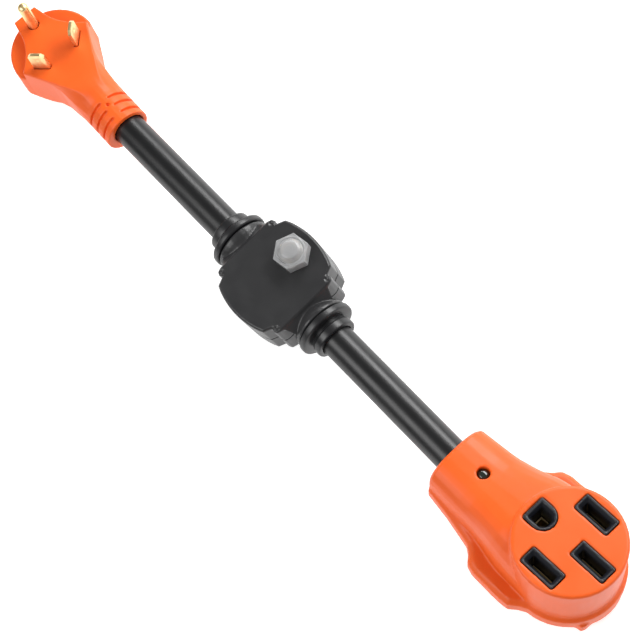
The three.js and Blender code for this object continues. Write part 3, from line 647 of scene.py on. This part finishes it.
def outwardness(face):
    """Above 0 for a face that looks away from the cable's middle line."""
    middle = face.calc_center_median()
    return face.normal.dot(middle - Vector((middle.x, 0, AXIS * MM)))


def jacket(name, node):
    low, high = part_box(node)
    thing = link(name, bpy.data.meshes.new(name))
    sweep = thing.modifiers.new("sweep", "NODES")
    sweep.node_group = TUBE
    set_inputs(sweep, {"Start": (low.x, 0, AXIS * MM), "End": (high.x, 0, AXIS * MM),
                       "Radius": JACKET_RADIUS * MM, "Rings": JACKET_RINGS, "Sides": JACKET_SIDES})
    baked(thing)
    with editing(thing.data) as bm:
        seal(bm)
        if sum(outwardness(f) for f in bm.faces) < 0:
            bmesh.ops.reverse_faces(bm, faces=bm.faces)
    wall = thing.modifiers.new("wall", "SOLIDIFY")
    wall.thickness, wall.offset = JACKET_WALL * MM, -1.0
    dress(shade(baked(thing), JACKET_ANGLE), [node], ride=False)
    bend(thing)


jacket("cable_jacket_plug_side", "cable_jacket_plug")
jacket("cable_jacket_connector_side", "cable_jacket_connector")

# %% [markdown]
# ## Conductors
# The three conductors run inside the jacket. Each conductor is sliced every few millimetres along
# the jacket's span.

# %% Conductors
SLICES, WIRE_ANGLE = 26, 50


def conductor(node, body):
    thing = welded(node, node + "_core")
    low, high = sorted(SPANS[body])
    with editing(thing.data) as bm:
        for k in range(SLICES + 1):
            x = low + (high - low) * k / SLICES
            everything = list(bm.verts) + list(bm.edges) + list(bm.faces)
            bmesh.ops.bisect_plane(bm, geom=everything, dist=SEAM, plane_co=(x, 0, 0),
                                   plane_no=(1, 0, 0))
    dress(shade(thing, WIRE_ANGLE), [node], ride=False)
    bend(thing)


for wire in ("line", "neutral", "ground"):
    for body in ("plug", "connector"):
        conductor(f"{wire}_wire_{body}", body)

# %% [markdown]
# ## Screw
# The same small screw closes the box at each corner of its underside. It is a stack of rings with
# a cross cut into the head, and one is enough, because the next cell sets its copies.

# %% Screw
SCREW_SIDES = 24
SCREW_RINGS = [(0.0, 1.9), (0.12, 2.4), (0.5, 2.68), (1.1, 2.7), (2.0, 2.7), (2.0, 1.3), (21.0, 1.3),
               (21.2, 0.9)]
CROSS_LONG, CROSS_WIDE, CROSS_DEEP = 3.2, 0.7, 1.8


def circle_of(bm, z, radius):
    turns = [2 * math.pi * k / SCREW_SIDES for k in range(SCREW_SIDES)]
    return [bm.verts.new((radius * MM * math.cos(t), radius * MM * math.sin(t), z * MM)) for t in turns]


def screw_mesh():
    """One pan-head screw, head down, its head's face at z = 0."""
    mesh = bpy.data.meshes.new("screw")
    with editing(mesh) as bm:
        loops = [circle_of(bm, z, radius) for z, radius in SCREW_RINGS]
        for a, b in zip(loops, loops[1:]):
            for k in range(SCREW_SIDES):
                n = (k + 1) % SCREW_SIDES
                bm.faces.new((a[k], a[n], b[n], b[k]))
        bm.faces.new(list(reversed(loops[0])))
        bm.faces.new(loops[-1])
        bmesh.ops.recalc_face_normals(bm, faces=bm.faces)
    return mesh


def cross_cut(thing):
    """Cuts the cross recess into the head."""
    mesh = bpy.data.meshes.new("cross")
    with editing(mesh) as bm:
        for size in ((CROSS_LONG, CROSS_WIDE, CROSS_DEEP), (CROSS_WIDE, CROSS_LONG, CROSS_DEEP)):
            made = bmesh.ops.create_cube(bm, size=1.0)
            bmesh.ops.scale(bm, vec=Vector(size) * MM, verts=made["verts"])
    tool = link("cross", mesh)
    cut = thing.modifiers.new("cross", "BOOLEAN")
    cut.operation, cut.object, cut.solver, cut.use_self = "DIFFERENCE", tool, "EXACT", True
    baked(thing)
    bpy.data.objects.remove(tool)
    return thing


screw = cross_cut(link("screw", screw_mesh()))
print("screw", len(screw.data.polygons), "faces")

# %% [markdown]
# ## Four screws
# A Geometry Nodes tree sets a copy of the screw on each of four points, which are taken from the
# measured screws, and turns each further than the last, as real ones never line up.

# %% Four screws
SCREW_TURN, SCREW_ANGLE = 0.7, 35


def copies_tree(name, model, material):
    tree, given, end = new_tree(name, [("Points", GEOMETRY), ("Turn", FLOAT)],
                                [("Geometry", GEOMETRY)], "GeometryNodeTree")
    source = put(tree, "GeometryNodeObjectInfo", [("Object", model)])
    number = put(tree, "GeometryNodeInputIndex")
    turn = put(tree, "ShaderNodeMath", [
        (0, number.outputs[0]), (1, given.outputs["Turn"])], operation="MULTIPLY")
    angle = put(tree, "ShaderNodeCombineXYZ", [("Z", turn.outputs[0])])
    copies = put(tree, "GeometryNodeInstanceOnPoints", [
        ("Points", given.outputs["Points"]), ("Instance", source.outputs["Geometry"]),
        ("Rotation", angle.outputs[0])])
    end_tree(tree, copies.outputs["Instances"], material, end)
    return tree


screw_nodes = [f"housing_screw_{k}" for k in (1, 2, 3, 4)]
corners = []
for node in screw_nodes:
    low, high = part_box(node)
    corners.append(((low.x + high.x) / 2, (low.y + high.y) / 2, low.z))
spots = bpy.data.meshes.new("screw_spots")
spots.from_pydata(corners, [], [])
screws = link("box_screws", spots)
setter = screws.modifiers.new("copies", "NODES")
setter.node_group = copies_tree("Screw_Copies", screw, LOOKS["zinc_steel"])
set_inputs(setter, {"Turn": SCREW_TURN})
baked(screws)
bpy.data.objects.remove(screw)
dress(shade(screws, SCREW_ANGLE), screw_nodes)

# %% [markdown]
# ## Contacts and terminals
# These are hidden strips of brass. They keep their measured shape, with a small bevel so that they
# catch the light if they are seen through a slot.

# %% Contacts and terminals
for node in ("line_contact_a", "line_contact_b", "neutral_contact", "ground_contact", "line_bridge",
             "contact_bridge", "breaker_terminal_in", "breaker_terminal_out"):
    crisp(node, node + "_strip", 0.12, 1)

# %% [markdown]
# ## Turned and moulded parts inside
# The bushing, the nut, the button's cap, the sleeves, the case and the covers are hard and crisp, so
# they get a small bevel too, a little wider on the larger ones. The trip spring is left as measured.

# %% Turned and moulded parts inside
for node, name, width in (
        ("breaker_bushing", "button_bushing", 0.2), ("boot_nut", "boot_nut_ring", 0.2),
        ("reset_button", "reset_button_cap", 0.15), ("neutral_splice", "neutral_splice_sleeve", 0.2),
        ("ground_splice", "ground_splice_sleeve", 0.2), ("lamp_resistor", "lamp_resistor_body", 0.15),
        ("plug_blade_carrier", "blade_carrier_block", 0.25),
        ("contact_cover", "contact_cover_plate", 0.25),
        ("breaker_case", "breaker_case_moulding", 0.25), ("breaker_cover", "breaker_cover_plate", 0.25)):
    crisp(node, name, width)

# %% [markdown]
# ## Lamp
# The power lamp sits in the hole in the connector's neck: a short cylinder with a domed top, turned
# from a profile whose dome is an arc.

# %% Lamp
LENS_BOTTOM, LENS_SHOULDER, LENS_RADIUS, DOME_HEIGHT = 8.6, 11.4, 2.7, 1.8
dome = [(LENS_SHOULDER + DOME_HEIGHT * math.sin(math.radians(a)), LENS_RADIUS * math.cos(math.radians(a)))
        for a in range(12, 84, 9)]
lens = [(LENS_BOTTOM, 0), (LENS_BOTTOM, LENS_RADIUS), (LENS_SHOULDER, LENS_RADIUS), *dome,
        (LENS_SHOULDER + DOME_HEIGHT, 0)]
lathe("lamp_lens", lens, CONNECTOR @ Matrix.Translation((LAMP_PLACE * MM, 0, 0)), "power_lamp",
      axis="Z", steps=48)
